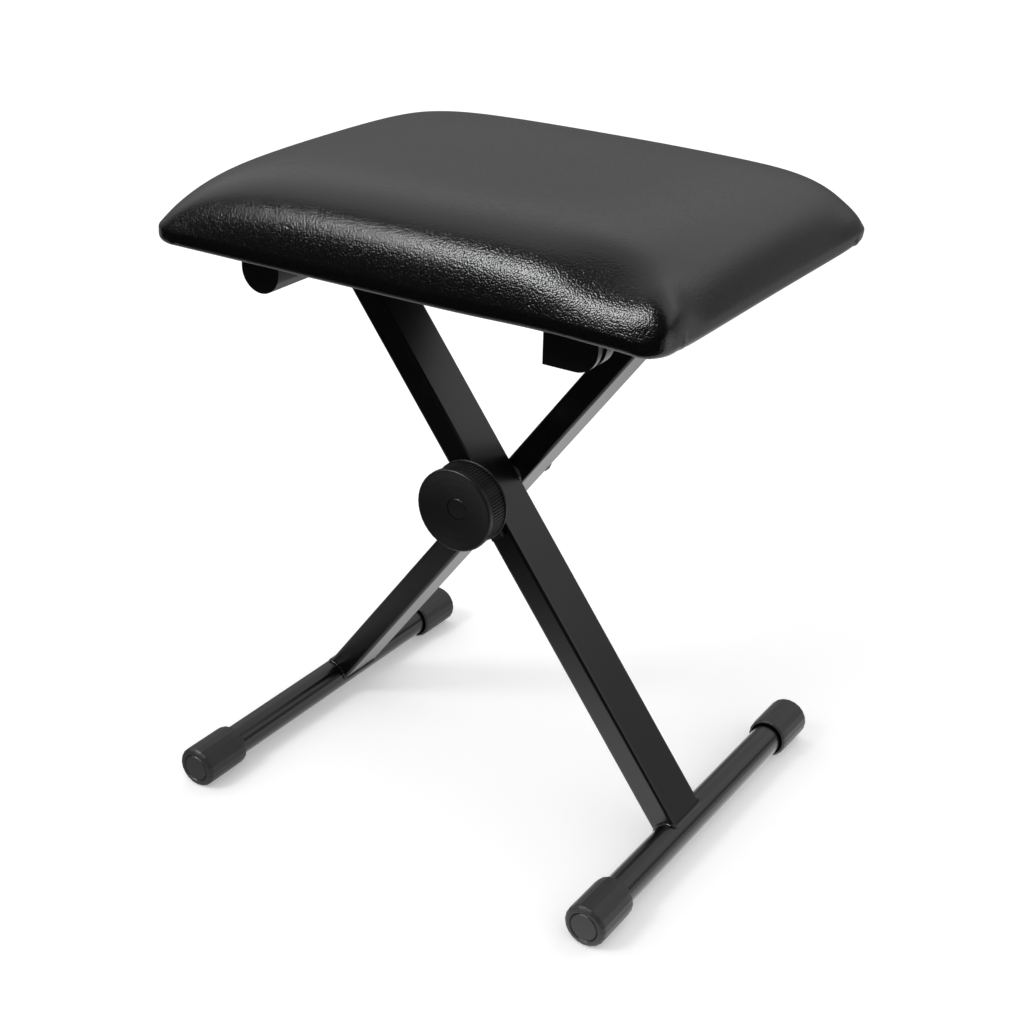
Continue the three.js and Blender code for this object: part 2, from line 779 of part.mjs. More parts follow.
// The slide bracket is a housing with a groove round it and a slot that is open to the left. The right
// top tube rests against the slot's round end, and slides out to the left when the legs close.
function slide_outline(grown) {
  const radius = slide_radius + grown;
  const outline = new THREE.Shape();
  outline.moveTo(-slide_run, flange_bottom);
  outline.lineTo(-slide_run, -radius);
  outline.lineTo(slide_shift, -radius);
  outline.absarc(slide_shift, 0, radius, -Math.PI / 2, 0);
  outline.lineTo(slide_shift + radius, flange_bottom);
  outline.closePath();
  return outline;
}

function slot_outline() {
  const outline = new THREE.Shape();
  outline.moveTo(-slide_run - slide_tab - overrun, bearing_radius);
  outline.lineTo(-slide_run - slide_tab - overrun, -bearing_radius);
  outline.lineTo(0, -bearing_radius);
  outline.absarc(0, 0, bearing_radius, -Math.PI / 2, Math.PI / 2);
  outline.closePath();
  return outline;
}

function slide_bracket() {
  const y_from = -bracket_end_y;
  const groove_from = slide_rim - bracket_end_y;
  const groove_to = groove_from + slide_groove;
  const end = slide_flange_length - bracket_end_y + overrun;
  const groove = prism(slide_outline(overrun), groove_from, groove_to).subtract(
    prism(slide_outline(-slide_groove_depth), y_from, end),
  );
  const from = -slide_run - slide_tab;
  const to = slide_side + flange_ear;
  return prism(slide_outline(0), y_from, slide_length - bracket_end_y)
    .subtract(groove)
    .add(flange(from, to, slide_flange_length, slide_screws, slide_screw_y))
    .subtract(prism(slot_outline(), y_from + bracket_end_wall, end));
}

// The same piece seen in a mirror across the bench's long middle plane.
function mirrored(body) {
  return body.mirror([0, 1, 0]);
}

// The outline of the pad seen from above as points in order, with the middle of each side drawn in.
function pad_ring(inset) {
  const half_x = pad_length / 2 - inset;
  const half_y = pad_width / 2 - inset;
  const corner = pad_corner - inset;
  const long_steps = 8;
  const short_steps = 6;
  const ring_corner_steps = 5;
  const points = [];
  const straight = (x0, y0, x1, y1, steps) => {
    for (let i = 1; i < steps; i++) {
      points.push([x0 + ((x1 - x0) * i) / steps, y0 + ((y1 - y0) * i) / steps]);
    }
  };
  const round = (x, y, from) => {
    for (let i = 0; i <= ring_corner_steps; i++) {
      const angle = from + (Math.PI / 2) * (i / ring_corner_steps);
      points.push([x + corner * Math.cos(angle), y + corner * Math.sin(angle)]);
    }
  };
  const cx = half_x - corner;
  const cy = half_y - corner;
  straight(half_x, -cy, half_x, cy, short_steps);
  round(cx, cy, 0);
  straight(cx, half_y, -cx, half_y, long_steps);
  round(-cx, cy, Math.PI / 2);
  straight(-half_x, cy, -half_x, -cy, short_steps);
  round(-cx, -cy, Math.PI);
  straight(-cx, -half_y, cx, -half_y, long_steps);
  round(cx, -cy, Math.PI * 1.5);
  return points.map(([x, y]) => {
    const along_x = Math.cos((Math.PI / 2) * Math.min(1, Math.abs(x) / half_x));
    const along_y = Math.cos((Math.PI / 2) * Math.min(1, Math.abs(y) / half_y));
    const draw = pad_side_draw * Math.max(along_x, along_y) ** 2;
    return [x * (1 - draw / half_x), y * (1 - draw / half_y)];
  });
}

// The pad's form, drawn in by an inset all round: an upright lip, a steep shoulder that is lower at
// the corners, and a broad crown.
function pad_form(inset) {
  const ring = pad_ring(inset);
  const half_x = pad_length / 2 - inset;
  const half_y = pad_width / 2 - inset;
  const crown = pad_height - pad_lip - pad_shoulder;
  const shoulder_sharpness = 26;
  const crown_sharpness = 7;
  const corner_drop_share = 0.6;
  const corner_drop_sharpness = 2.5;
  const height = (x, y, share) => {
    const u = Math.min(1, Math.abs(x) / half_x);
    const v = Math.min(1, Math.abs(y) / half_y);
    const rim = 1 - corner_drop_share * (u * v) ** corner_drop_sharpness;
    const shoulder = rim * (1 - share ** shoulder_sharpness);
    const cushion = (1 - u ** crown_sharpness) * (1 - v ** crown_sharpness);
    return pad_lip + pad_shoulder * shoulder + crown * cushion;
  };
  const places = [];
  const low = pad_bottom + inset;
  for (const [x, y] of ring) {
    places.push(x * (1 - pad_tuck / half_x), y * (1 - pad_tuck / half_y), low);
  }
  for (const [x, y] of ring) places.push(x, y, low + pad_lip / 2);
  for (const share of level_shares) {
    for (const [x, y] of ring) {
      places.push(x * share, y * share, pad_bottom - inset + height(x * share, y * share, share));
    }
  }
  places.push(0, 0, pad_bottom - inset + height(0, 0, 0));
  places.push(0, 0, low);
  const count = ring.length;
  const rows = level_shares.length + 2;
  const top = rows * count;
  const index = [];
  for (let i = 0; i < count; i++) {
    const next = (i + 1) % count;
    for (let row = 0; row < rows - 1; row++) {
      const a = row * count + i;
      const b = row * count + next;
      index.push(a, b, b + count, a, b + count, a + count);
    }
    index.push(top - count + i, top - count + next, top);
    index.push(next, i, top + 1);
  }
  const geometry = new THREE.BufferGeometry();
  geometry.setAttribute("position", new THREE.Float32BufferAttribute(places, 3));
  geometry.setIndex(index);
  return solid(geometry.translate(0, pad_overhang, 0));
}

const level_shares = [1, 0.993, 0.975, 0.93, 0.85, 0.74, 0.55];

// A plate with the pad's outline, drawn in by an inset, between two heights.
function pad_plate(inset, z_from, z_to) {
  const half_x = pad_length / 2 - inset;
  const half_y = pad_width / 2 - inset;
  const outline = round_rectangle(-half_x, half_x, -half_y, half_y, pad_corner);
  const options = { depth: z_to - z_from, bevelEnabled: false, curveSegments: corner_steps * 2 };
  return solid(new THREE.ExtrudeGeometry(outline, options).translate(0, pad_overhang, z_from));
}

const hem_top = pad_bottom + cover_thickness;
const board_bottom = hem_top + fit_gap;
const board_top = board_bottom + board_thickness;

// The vinyl cover is a skin over the foam, turned in under the board as a hem.
function seat_cover() {
  return pad_form(0)
    .subtract(pad_form(cover_thickness))
    .subtract(pad_plate(cover_hem, pad_bottom - overrun, hem_top + fit_gap));
}

// The foam lies on the board and wraps over its edges.
function seat_foam() {
  const inset = cover_thickness + foam_gap;
  return pad_form(inset)
    .subtract(pad_plate(board_inset - fit_gap, pad_bottom - overrun, board_top + fit_gap))
    .subtract(pad_plate(-overrun, pad_bottom - overrun, board_bottom));
}

// Where every bracket screw stands, named by its bracket.
function screw_places() {
  const places = [];
  for (const [end, sign] of [["front", -1], ["back", 1]]) {
    for (const [kind, x_axis, offsets, y] of [
      ["hinge", left_top_x, hinge_screws, hinge_screw_y],
      ["slide", right_top_x, slide_screws, slide_screw_y],
    ]) {
      offsets.forEach((x, i) => {
        const name = `${kind}_screw_${end}_${["left", "right"][i]}`;
        places.push([name, x_axis + x, sign * y]);
      });
    }
  }
  return places;
}

function drilled(body) {
  const face = top_axis_z + flange_bottom;
  return screw_places().reduce((rest, [, x, y]) => rest.subtract(screw_hole(x, y, face)), body);
}

function seat_board() {
  return drilled(pad_plate(board_inset, board_bottom, board_top));
}

// The dust cover is a thin cloth under the board, inside the hem.
function dust_cover() {
  const bottom = pad_bottom;
  return drilled(pad_plate(dust_inset, bottom, bottom + dust_thickness));
}

// The front frame: front leg, right foot and left top tube.
function front_frame() {
  const frame = new THREE.Group();
  const turning = new THREE.Group();
  turning.rotation.y = lean - Math.PI;
  turning.position.set(pivot_x, 0, pivot_z);
  turning.add(piece("front_leg", front_leg(), "powder_coat"));
  turning.add(piece("knob_spacer", knob_spacer(), "nylon"));
  const sleeve = piece("front_crush_sleeve", crush_sleeve(), "zinc");
  sleeve.position.y = (front_face_y + front_inner_y) / 2;
  const disc = piece("front_lock_disc", lock_disc(), "zinc");
  disc.position.y = front_inner_y + seat_gap;
  turning.add(sleeve, disc);
  const foot = foot_set("right");
  foot.position.set(pivot_x + foot_span / 2, right_foot_y, foot_axis_height);
  const top = top_set("left");
  top.position.set(left_top_x, seat_y, top_axis_z);
  frame.add(turning, foot, top);
  return frame;
}

// The rear frame: rear leg, left foot, right top tube, the bolt and its spring.
function rear_frame() {
  const frame = new THREE.Group();
  const turning = new THREE.Group();
  turning.rotation.y = -lean;
  turning.position.set(pivot_x, 0, pivot_z);
  turning.add(piece("rear_leg", rear_leg(), "powder_coat"));
  turning.add(piece("pivot_bolt", pivot_bolt(), "zinc"));
  const sleeve = piece("rear_crush_sleeve", crush_sleeve(), "zinc");
  sleeve.position.y = (rear_face_y + rear_inner_y) / 2;
  const disc = piece("rear_lock_disc", lock_disc(), "zinc");
  disc.rotation.z = Math.PI;
  disc.position.y = rear_inner_y - seat_gap;
  const spring = piece("release_spring", release_spring(), "spring_steel");
  turning.add(sleeve, disc, spring);
  const foot = foot_set("left");
  foot.position.set(pivot_x - foot_span / 2, left_foot_y, foot_axis_height);
  const top = top_set("right");
  top.position.set(right_top_x, seat_y, top_axis_z);
  frame.add(turning, foot, top);
  return frame;
}

// The knob and what turns or travels with it.
function knob_set() {
  const set = new THREE.Group();
  set.position.set(pivot_x, 0, pivot_z);
  const facing = new THREE.Group();
  facing.rotation.z = Math.PI;
  facing.position.y = knob_back_y;
  facing.add(piece("knob", knob_body(), "knob_plastic"));
  facing.add(piece("knob_insert", knob_insert(), "zinc"));
  facing.add(piece("knob_cap", knob_cap(), "knob_plastic"));
  set.add(facing, piece("thrust_washer", thrust_washer(), "zinc"));
  return set;
}

// The pad with the brackets and screws under it.
function seat() {
  const set = new THREE.Group();
  set.position.y = seat_y;
  set.add(piece("seat_cover", seat_cover(), "vinyl"));
  set.add(piece("seat_foam", seat_foam(), "foam"));
  set.add(piece("seat_board", seat_board(), "plywood"));
  set.add(piece("dust_cover", dust_cover(), "dust_cloth"));
  for (const [name, make, x] of [
    ["hinge_block", hinge_block, left_top_x],
    ["slide_bracket", slide_bracket, right_top_x],
  ]) {
    const front = piece(`${name}_front`, make(), "nylon");
    const back = piece(`${name}_back`, mirrored(make()), "nylon");
    for (const bracket of [front, back]) {
      bracket.position.set(x, 0, top_axis_z);
      set.add(bracket);
    }
  }
  for (const [name, x, y] of screw_places()) {
    const screw = piece(name, bracket_screw(), "zinc");
    screw.position.set(x, y, top_axis_z + flange_bottom + screw_gap);
    set.add(screw);
  }
  return set;
}

const bench = new THREE.Group();
bench.add(front_frame(), rear_frame(), knob_set(), seat());

export default bench;
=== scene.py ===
"""The looks of a folding keyboard bench: a vinyl pad on crossed steel legs, as a lesson in cells.

Lengths are in metres. +X runs from the left foot to the right foot, +Y away from the knob, +Z up.
"""
import json
import math

import bmesh
import bpy
import numpy as np
from mathutils import Matrix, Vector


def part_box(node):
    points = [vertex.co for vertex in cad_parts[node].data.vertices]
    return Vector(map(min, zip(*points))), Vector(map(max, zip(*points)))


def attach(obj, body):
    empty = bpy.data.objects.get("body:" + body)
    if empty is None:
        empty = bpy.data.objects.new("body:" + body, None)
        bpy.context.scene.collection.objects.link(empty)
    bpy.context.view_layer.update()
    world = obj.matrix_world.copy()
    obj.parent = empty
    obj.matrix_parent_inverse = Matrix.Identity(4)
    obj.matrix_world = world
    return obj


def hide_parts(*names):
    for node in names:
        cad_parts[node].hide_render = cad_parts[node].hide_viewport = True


# %% [markdown]
# The bench's steel, rubber and plastic pieces come in as a finished frame. Each one sits where the
# real piece sits, so nothing here is moved. We only give those pieces their finish, and then build
# what a frame can't hold: the stuffed pad, the weld seams and the staples.

# %% Load the frame
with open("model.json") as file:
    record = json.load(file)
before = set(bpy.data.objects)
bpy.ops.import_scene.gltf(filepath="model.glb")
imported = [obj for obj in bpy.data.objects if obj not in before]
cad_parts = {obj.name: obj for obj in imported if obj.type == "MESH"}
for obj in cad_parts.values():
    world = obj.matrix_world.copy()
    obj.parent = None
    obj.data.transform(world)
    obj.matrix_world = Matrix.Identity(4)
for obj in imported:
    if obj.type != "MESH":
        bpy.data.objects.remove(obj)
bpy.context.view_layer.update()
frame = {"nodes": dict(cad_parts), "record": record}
nodes = frame["nodes"]
mm = 0.001

# %% [markdown]
# The camera stands where the photographer stood: a little to the right of the bench, looking down on
# the pad by about 26 degrees. A camera's own axes are its right, its up and its back, so we work
# those three out from the angles and write them straight into its matrix.

# %% Camera
camera_turn, camera_fall, camera_roll = (
    math.radians(angle) for angle in (32.344, 25.667, 1.435)
)
camera_place = (0.62945, -0.99624, 0.78212)
camera_lens = 62.254


def camera_axes(turn, fall, roll):
    """Forward is the +Y axis turned about Z and tipped down. Right and up are square to it, and the
    roll turns both about it."""
    forward = np.array(
        [-math.sin(turn) * math.cos(fall), math.cos(turn) * math.cos(fall), -math.sin(fall)]
    )
    right = np.array([math.cos(turn), math.sin(turn), 0.0])
    up = np.cross(right, forward)
    right, up = (
        right * math.cos(roll) + up * math.sin(roll),
        up * math.cos(roll) - right * math.sin(roll),
    )
    return right, up, -forward


camera_data = bpy.data.cameras.new("camera")
camera_data.sensor_width = 36
camera_data.lens = camera_lens
camera_data.clip_start = 0.01
camera = bpy.data.objects.new("camera", camera_data)
bpy.context.scene.collection.objects.link(camera)
matrix = np.eye(4)
matrix[:3, :3] = np.array(camera_axes(camera_turn, camera_fall, camera_roll)).T
matrix[:3, 3] = camera_place
camera.matrix_world = Matrix(matrix.tolist())
bpy.context.scene.camera = camera
print("camera at", camera_place, "with a lens of", camera_lens, "mm")

# %% [markdown]
# A black thing is shown by what it mirrors, so the light is built in two parts. What falls on the
# bench is even and plain: a colour comes out about as it is written. What the bench mirrors is a
# studio: a bright wall behind it, a dim room behind the photographer, and one soft lamp over the
# photographer's left shoulder, which draws the bright band along the pad's front edge. Both parts
# depend only on a direction or a place in the room, never on where the camera stands.

# %% Small helpers for nodes
scene = bpy.context.scene
scene.view_settings.view_transform = "Standard"


def link_math(tree, operation, a, b, c=None):
    """A Math node. Each of a, b and c is a socket or a number."""
    node = tree.nodes.new("ShaderNodeMath")
    node.operation = operation
    for socket, value in zip(node.inputs, (a, b, c)):
        if value is None:
            continue
        if isinstance(value, (int, float)):
            socket.default_value = value
        else:
            tree.links.new(value, socket)
    return node.outputs[0]


def link_range(tree, value, from_low, from_high, to_low, to_high):
    """A smooth step: to_low below from_low, to_high above from_high, and an S-curve between."""
    node = tree.nodes.new("ShaderNodeMapRange")
    node.interpolation_type = "SMOOTHSTEP"
    tree.links.new(value, node.inputs["Value"])
    for name, number in (
        ("From Min", from_low), ("From Max", from_high), ("To Min", to_low), ("To Max", to_high),
    ):
        node.inputs[name].default_value = number
    return node.outputs["Result"]


def glow(tree, strength):
    """A white glow. The strength is a number or a socket, and 1 is white."""
    node = tree.nodes.new("ShaderNodeEmission")
    if isinstance(strength, (int, float)):
        node.inputs["Strength"].default_value = strength
    else:
        tree.links.new(strength, node.inputs["Strength"])
    return node.outputs[0]


def mix(tree, share, first, second):
    """The first shader where the share is zero, the second where it is one."""
    node = tree.nodes.new("ShaderNodeMixShader")
    for socket, value in zip(node.inputs, (share, first, second)):
        tree.links.new(value, socket)
    return node.outputs[0]


# %% The room
room_light = 0.88  # what falls on the bench, near one
back_wall, dim_room = 0.58, 0.03  # what its gloss mirrors, behind it and in front of it

world = bpy.data.worlds.new("studio")
scene.world = world
world.use_nodes = True
room = world.node_tree
room.nodes.clear()
direction = room.nodes.new("ShaderNodeSeparateXYZ")
room.links.new(room.nodes.new("ShaderNodeTexCoord").outputs["Generated"], direction.inputs[0])
mirrored_wall = link_range(room, direction.outputs["Y"], -0.35, 0.1, dim_room, back_wall)
# the wall is brighter at its two ends and brightens upwards
for axis, low, high, from_share, to_share in (
    ("X", -0.9, -0.55, 1.0, 0.72), ("X", -0.2, 0.5, 1.0, 1.45), ("Z", 0.16, 0.5, 0.5, 1.9),
):
    change = link_range(room, direction.outputs[axis], low, high, from_share, to_share)
    mirrored_wall = link_math(room, "MULTIPLY", mirrored_wall, change)
path = room.nodes.new("ShaderNodeLightPath")
seen_straight = link_math(
    room, "MAXIMUM", path.outputs["Is Camera Ray"], path.outputs["Is Transmission Ray"]
)
looks = mix(room, path.outputs["Is Glossy Ray"], glow(room, room_light), glow(room, mirrored_wall))
looks = mix(room, seen_straight, looks, glow(room, 1.0))
room.links.new(looks, room.nodes.new("ShaderNodeOutputWorld").inputs["Surface"])


# %% The lamps
def soft_lamp(name, place, target, size, watts):
    """A square lamp that faces its target: the lamp shines along its own -Z axis."""
    data = bpy.data.lights.new(name, "AREA")
    data.shape = "SQUARE"
    data.size = size
    data.energy = watts
    lamp = bpy.data.objects.new(name, data)
    scene.collection.objects.link(lamp)
    back = np.array(place, float) - np.array(target, float)
    back /= np.linalg.norm(back)
    side = np.cross([0, 0, 1], back)
    side /= np.linalg.norm(side)
    turned = np.eye(4)
    turned[:3, 0], turned[:3, 1], turned[:3, 2] = side, np.cross(back, side), back
    turned[:3, 3] = place
    lamp.matrix_world = Matrix(turned.tolist())
    return lamp


pad_middle = (0.0, -0.008, 0.46)
lamp_place = (-0.88, -1.44, 1.88)
soft_lamp("front_left_lamp", lamp_place, pad_middle, size=0.6, watts=12)
# a second, stronger lamp in the same place shows in gloss only
mirrored_lamp = soft_lamp("mirrored_lamp", lamp_place, pad_middle, size=0.42, watts=50)
mirrored_lamp.visible_diffuse = False


# %% The floor
def pale_floor():
    """White paint that keeps the bench's shadow. A glow tops it up to white where it is seen, and
    the part that gloss mirrors is a painted pool of light: a glow that is bright round the bench and
    dies away towards the camera's side."""
    material = bpy.data.materials.new("pale_floor")
    material.use_nodes = True
    tree = material.node_tree
    paint = tree.nodes["Principled BSDF"]
    paint.inputs["Base Color"].default_value = (0.93, 0.93, 0.93, 1)
    paint.inputs["Roughness"].default_value = 0.9
    paint.inputs["Specular IOR Level"].default_value = 0.0
    place = tree.nodes.new("ShaderNodeSeparateXYZ")
    tree.links.new(tree.nodes.new("ShaderNodeTexCoord").outputs["Object"], place.inputs[0])
    # painted light: the glow that gloss sees on the floor is a pool of light, bright round the
    # bench, dimmer far behind and on the left, dark towards the camera's side
    painted_floor_light = link_range(tree, place.outputs["Y"], -0.42, -0.13, 0.015, 1.42)
    far = link_range(tree, place.outputs["Y"], 0.15, 0.9, 1.0, 0.3)
    left = link_range(tree, place.outputs["X"], -0.3, 0.1, 0.3, 1.0)
    painted_floor_light = link_math(tree, "MULTIPLY", link_math(tree, "MULTIPLY", painted_floor_light, far), left)
    path = tree.nodes.new("ShaderNodeLightPath")
    topped_up = tree.nodes.new("ShaderNodeAddShader")
    tree.links.new(paint.outputs[0], topped_up.inputs[0])
    tree.links.new(glow(tree, 0.24), topped_up.inputs[1])
    seen_straight = link_math(
        tree, "MAXIMUM", path.outputs["Is Camera Ray"], path.outputs["Is Transmission Ray"]
    )
    looks = mix(tree, seen_straight, paint.outputs[0], topped_up.outputs[0])
    looks = mix(tree, path.outputs["Is Glossy Ray"], looks, glow(tree, painted_floor_light))
    tree.links.new(looks, tree.nodes["Material Output"].inputs["Surface"])
    return material


reach = 6.0
floor_mesh = bpy.data.meshes.new("floor")
floor_mesh.from_pydata(
    [(-reach, -reach, 0), (reach, -reach, 0), (reach, reach, 0), (-reach, reach, 0)],
    [],
    [(0, 1, 2, 3)],
)
floor_mesh.materials.append(pale_floor())
floor = bpy.data.objects.new("floor", floor_mesh)
scene.collection.objects.link(floor)

# %% [markdown]
# Small relief is shared by several finishes: moulded grain, the orange peel of powder coat, the
# pebbles of vinyl. Each is a node group, a little machine with named sockets that many materials can
# use with their own numbers. A group here only gives out heights and masks. The shader itself stays
# in the material.

# %% Helpers for node groups
def new_group(name, inputs, outputs):
    """An empty node group with the named sockets. A socket is (name, kind, value)."""
    group = bpy.data.node_groups.new(name, "ShaderNodeTree")
    for socket, kind, value in inputs:
        made = group.interface.new_socket(socket, in_out="INPUT", socket_type=kind)
        if value is not None:
            made.default_value = value
    for socket, kind in outputs:
        group.interface.new_socket(socket, in_out="OUTPUT", socket_type=kind)
    return group, group.nodes.new("NodeGroupInput"), group.nodes.new("NodeGroupOutput")


# %% Pebble grain, for the vinyl
def make_pebble_grain():
    """Low domes side by side. Voronoi gives the distance to the middle of the nearest cell, and one
    minus its square is a dome. Noise bends the cells so that none is regular."""
    group, given, out = new_group(
        "pebble_grain",
        [
            ("Place", "NodeSocketVector", None),
            ("Cells per metre", "NodeSocketFloat", 600.0),
            ("Bend", "NodeSocketFloat", 0.6),
        ],
        [("Height", "NodeSocketFloat"), ("Valley", "NodeSocketFloat")],
    )
    links = group.links
    scaled = group.nodes.new("ShaderNodeVectorMath")
    scaled.operation = "SCALE"
    links.new(given.outputs["Place"], scaled.inputs[0])
    links.new(given.outputs["Cells per metre"], scaled.inputs["Scale"])
    noise = group.nodes.new("ShaderNodeTexNoise")
    noise.inputs["Scale"].default_value = 0.9
    noise.inputs["Detail"].default_value = 2.0
    links.new(scaled.outputs[0], noise.inputs["Vector"])
    bend = group.nodes.new("ShaderNodeVectorMath")
    bend.operation = "MULTIPLY_ADD"
    links.new(noise.outputs["Color"], bend.inputs[0])
    links.new(given.outputs["Bend"], bend.inputs[1])
    links.new(scaled.outputs[0], bend.inputs[2])
    cells = group.nodes.new("ShaderNodeTexVoronoi")
    cells.feature = "SMOOTH_F1"
    cells.inputs["Scale"].default_value = 1.0
    cells.inputs["Smoothness"].default_value = 0.12
    links.new(bend.outputs[0], cells.inputs["Vector"])
    hollow = link_math(group, "MULTIPLY", cells.outputs["Distance"], cells.outputs["Distance"])
    fine = group.nodes.new("ShaderNodeTexNoise")
    fine.inputs["Scale"].default_value = 2.6
    fine.inputs["Detail"].default_value = 2.0
    links.new(scaled.outputs[0], fine.inputs["Vector"])
    dome = link_math(group, "SUBTRACT", 1.0, hollow)
    height = link_math(group, "MULTIPLY_ADD", fine.outputs["Fac"], 0.1, dome)
    links.new(height, out.inputs["Height"])
    links.new(link_range(group, hollow, 0.12, 0.5, 0.0, 1.0), out.inputs["Valley"])
    return group


pebble_grain = make_pebble_grain()


# %% Soft relief, for paint, rubber and moulded plastic
def make_soft_relief():
    """Two noises of different size: the fine one is the surface's grain, the broad one is how a
    finish drifts a little from place to place."""
    group, given, out = new_group(
        "soft_relief",
        [
            ("Place", "NodeSocketVector", None),
            ("Grains per metre", "NodeSocketFloat", 900.0),
            ("Drifts per metre", "NodeSocketFloat", 12.0),
        ],
        [("Height", "NodeSocketFloat"), ("Drift", "NodeSocketFloat")],
    )
    for name, socket, detail in (
        ("Height", "Grains per metre", 3.0), ("Drift", "Drifts per metre", 4.0),
    ):
        noise = group.nodes.new("ShaderNodeTexNoise")
        noise.inputs["Detail"].default_value = detail
        group.links.new(given.outputs["Place"], noise.inputs["Vector"])
        group.links.new(given.outputs[socket], noise.inputs["Scale"])
        group.links.new(noise.outputs["Fac"], out.inputs[name])
    return group


soft_relief = make_soft_relief()
print("node groups:", [g.name for g in bpy.data.node_groups])


# %% [markdown]
# A finish is a colour, a roughness that drifts a little, and a relief. One function builds it, so
# every finish reads the same way: the relief drives a Bump node, the drift lightens or darkens the
# colour by a few percent and moves the roughness.

# %% Finishes of the hard pieces
def finish(name, colour, roughness, grains, relief_mm, metallic=0.0, drifts=14.0,
           colour_drift=0.12, roughness_drift=0.1, specular=0.5):
    """A Principled material: colour times (1 + drift), roughness plus drift, bump from the grain."""
    material = bpy.data.materials.new(name)
    material.use_nodes = True
    tree = material.node_tree
    surface = tree.nodes["Principled BSDF"]
    place = tree.nodes.new("ShaderNodeTexCoord")
    relief = tree.nodes.new("ShaderNodeGroup")
    relief.node_tree = soft_relief
    relief.inputs["Grains per metre"].default_value = grains
    relief.inputs["Drifts per metre"].default_value = drifts
    tree.links.new(place.outputs["Object"], relief.inputs["Place"])
    spread = tree.nodes.new("ShaderNodeMix")
    spread.data_type = "RGBA"
    spread.inputs["A"].default_value = (*[c * (1 - colour_drift) for c in colour], 1)
    spread.inputs["B"].default_value = (*[min(1, c * (1 + colour_drift)) for c in colour], 1)
    tree.links.new(relief.outputs["Drift"], spread.inputs["Factor"])
    tree.links.new(spread.outputs["Result"], surface.inputs["Base Color"])
    rough = link_math(tree, "MULTIPLY_ADD", relief.outputs["Drift"], roughness_drift,
                      roughness - roughness_drift / 2)
    tree.links.new(rough, surface.inputs["Roughness"])
    bump = tree.nodes.new("ShaderNodeBump")
    bump.inputs["Strength"].default_value = 1.0
    bump.inputs["Distance"].default_value = relief_mm * mm
    tree.links.new(relief.outputs["Height"], bump.inputs["Height"])
    tree.links.new(bump.outputs["Normal"], surface.inputs["Normal"])
    surface.inputs["Metallic"].default_value = metallic
    surface.inputs["Specular IOR Level"].default_value = specular
    return material


finishes = {
    "powder_coat": finish("powder_coat", (0.0022, 0.0022, 0.0023), 0.24, 1100, 0.006),
    "rubber": finish("rubber", (0.013, 0.013, 0.0134), 0.5, 1500, 0.03),
    "knob_plastic": finish(
        "knob_plastic", (0.0024, 0.0024, 0.0025), 0.46, 2600, 0.01, specular=0.36
    ),
    "nylon": finish("nylon", (0.0018, 0.0018, 0.0019), 0.34, 2200, 0.012),
    "foam": finish("foam", (0.68, 0.62, 0.42), 0.95, 1400, 0.3, specular=0.2),
    "zinc": finish("zinc", (0.56, 0.57, 0.6), 0.34, 1800, 0.006, metallic=1.0),
    "spring_steel": finish("spring_steel", (0.3, 0.3, 0.32), 0.3, 1600, 0.004, metallic=1.0),
    "dust_cloth": finish("dust_cloth", (0.012, 0.012, 0.013), 0.9, 1900, 0.12, specular=0.2),
}


# %% Plywood, seen only where the board shows
def make_plywood():
    """Noise through a ramp of two browns, drawn out along X as grain, squeezed along Z as plies."""
    material = finish("plywood", (0.42, 0.26, 0.12), 0.7, 500, 0.05)
    tree = material.node_tree
    surface = tree.nodes["Principled BSDF"]
    place = tree.nodes.new("ShaderNodeTexCoord")
    stretched = tree.nodes.new("ShaderNodeMapping")
    stretched.inputs["Scale"].default_value = (8, 90, 420)
    tree.links.new(place.outputs["Object"], stretched.inputs["Vector"])
    streaks = tree.nodes.new("ShaderNodeTexNoise")
    streaks.inputs["Scale"].default_value = 1.0
    streaks.inputs["Detail"].default_value = 5.0
    tree.links.new(stretched.outputs[0], streaks.inputs["Vector"])
    ramp = tree.nodes.new("ShaderNodeValToRGB")
    ramp.color_ramp.elements[0].position = 0.35
    ramp.color_ramp.elements[0].color = (0.26, 0.14, 0.06, 1)
    ramp.color_ramp.elements[1].position = 0.7
    ramp.color_ramp.elements[1].color = (0.52, 0.33, 0.16, 1)
    tree.links.new(streaks.outputs["Fac"], ramp.inputs["Fac"])
    tree.links.new(ramp.outputs["Color"], surface.inputs["Base Color"])
    return material


finishes["plywood"] = make_plywood()

# %% Put the finishes on the frame
slots = {s["node"]: s["material_slot"] for s in frame["record"]["subparts"]}
for name, thing in nodes.items():
    if slots[name] in finishes:
        thing.data.materials.clear()
        thing.data.materials.append(finishes[slots[name]])
print("finished nodes:", sum(slots[n] in finishes for n in nodes), "of", len(nodes))

# %% [markdown]
# The vinyl is an embossed plastic skin on cloth. Its pebbles are a little over one millimetre
# across. They are low domes, so where the lamp is mirrored each dome shows its own small spark, and
# the valleys between them stay dark, their colour darkened as painted shade.

# %% Vinyl
pebbles_per_metre = 850.0
pebble_height = 0.15 * mm


